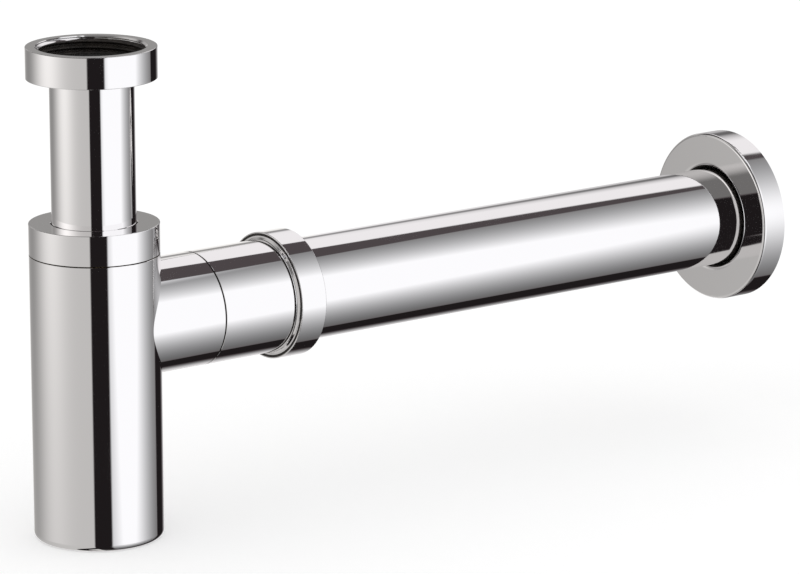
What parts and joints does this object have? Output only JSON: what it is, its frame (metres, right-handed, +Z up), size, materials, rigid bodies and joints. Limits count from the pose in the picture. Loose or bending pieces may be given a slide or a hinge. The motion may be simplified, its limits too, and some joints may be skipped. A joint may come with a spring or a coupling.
{
  "type": "bottle trap",
  "caption": "Round chrome bottle trap for a wash basin: threaded inlet nut, height-adjustable inlet tube, bottle, straight wall pipe and cover flange.",
  "frame": {"origin": "centre of the inlet nut's mouth, on its top plane", "axes": "+Z up along the inlet tube, out of the inlet; +X along the outlet pipe to the wall"},
  "size_m": [0.3502, 0.0692, 0.1892],
  "materials": {
    "chrome": "polished chrome plate on brass",
    "black_rubber": "matt moulded rubber",
    "white_plastic": "satin moulded plastic"
  },
  "bodies": {
    "inlet_tube": {"inlet_tube": "chrome"},
    "inlet_nut": {"inlet_nut": "chrome", "inlet_washer": "black_rubber"},
    "cap_seal": {"cap_seal": "black_rubber"},
    "bottle": {"bottle": "chrome", "outlet_sleeve": "chrome", "sleeve_oring": "black_rubber"},
    "cap_slip_ring": {"cap_slip_ring": "white_plastic"},
    "cap_nut": {"cap_nut": "chrome"},
    "outlet_slip_ring": {"outlet_slip_ring": "white_plastic"},
    "outlet_nut": {"outlet_nut": "chrome"},
    "outlet_seal": {"outlet_seal": "black_rubber"},
    "outlet_pipe": {"outlet_pipe": "chrome"},
    "flange_grip_ring": {"flange_grip_ring": "black_rubber"},
    "wall_flange": {"wall_flange": "chrome"}
  },
  "joints": [
    {"name": "inlet_nut_spin", "type": "hinge", "parent": "inlet_tube", "child": "inlet_nut", "pos_m": [0, 0, -0.006], "axis": [0, 0, 1], "continuous": true},
    {"name": "height_slide", "type": "slide", "parent": "inlet_tube", "child": "cap_seal", "axis": [0, 0, 1], "range_m": [-0.03, 0.006]},
    {"name": "bottle_swivel", "type": "hinge", "parent": "cap_seal", "child": "bottle", "pos_m": [0, 0, -0.0752], "axis": [0, 0, 1], "continuous": true},
    {"name": "cap_nut_lift", "type": "slide", "parent": "bottle", "child": "cap_slip_ring", "axis": [0, 0, 1], "range_m": [0, 0.0061]},
    {"name": "cap_nut_turn", "type": "hinge", "parent": "cap_slip_ring", "child": "cap_nut", "pos_m": [0, 0, -0.0732], "axis": [0, 0, 1], "range_deg": [0, 1440]},
    {"name": "outlet_nut_shift", "type": "slide", "parent": "bottle", "child": "outlet_slip_ring", "axis": [1, 0, 0], "range_m": [0, 0.0061]},
    {"name": "outlet_nut_turn", "type": "hinge", "parent": "outlet_slip_ring", "child": "outlet_nut", "pos_m": [0.084, 0, -0.1072], "axis": [1, 0, 0], "range_deg": [0, 1440]},
    {"name": "pipe_turn", "type": "hinge", "parent": "bottle", "child": "outlet_seal", "pos_m": [0.084, 0, -0.1072], "axis": [1, 0, 0], "continuous": true},
    {"name": "pipe_slide", "type": "slide", "parent": "outlet_seal", "child": "outlet_pipe", "axis": [1, 0, 0], "range_m": [-0.005, 0.02]},
    {"name": "flange_slide", "type": "slide", "parent": "outlet_pipe", "child": "flange_grip_ring", "axis": [-1, 0, 0], "range_m": [0, 0.2]},
    {"name": "flange_turn", "type": "hinge", "parent": "flange_grip_ring", "child": "wall_flange", "pos_m": [0.311, 0, -0.1072], "axis": [1, 0, 0], "continuous": true}
  ],
  "couplings": [
    {"joint": "cap_nut_lift", "follows": "cap_nut_turn", "m_per_rad": 0.00023873},
    {"joint": "outlet_nut_shift", "follows": "outlet_nut_turn", "m_per_rad": 0.00023873}
  ]
}
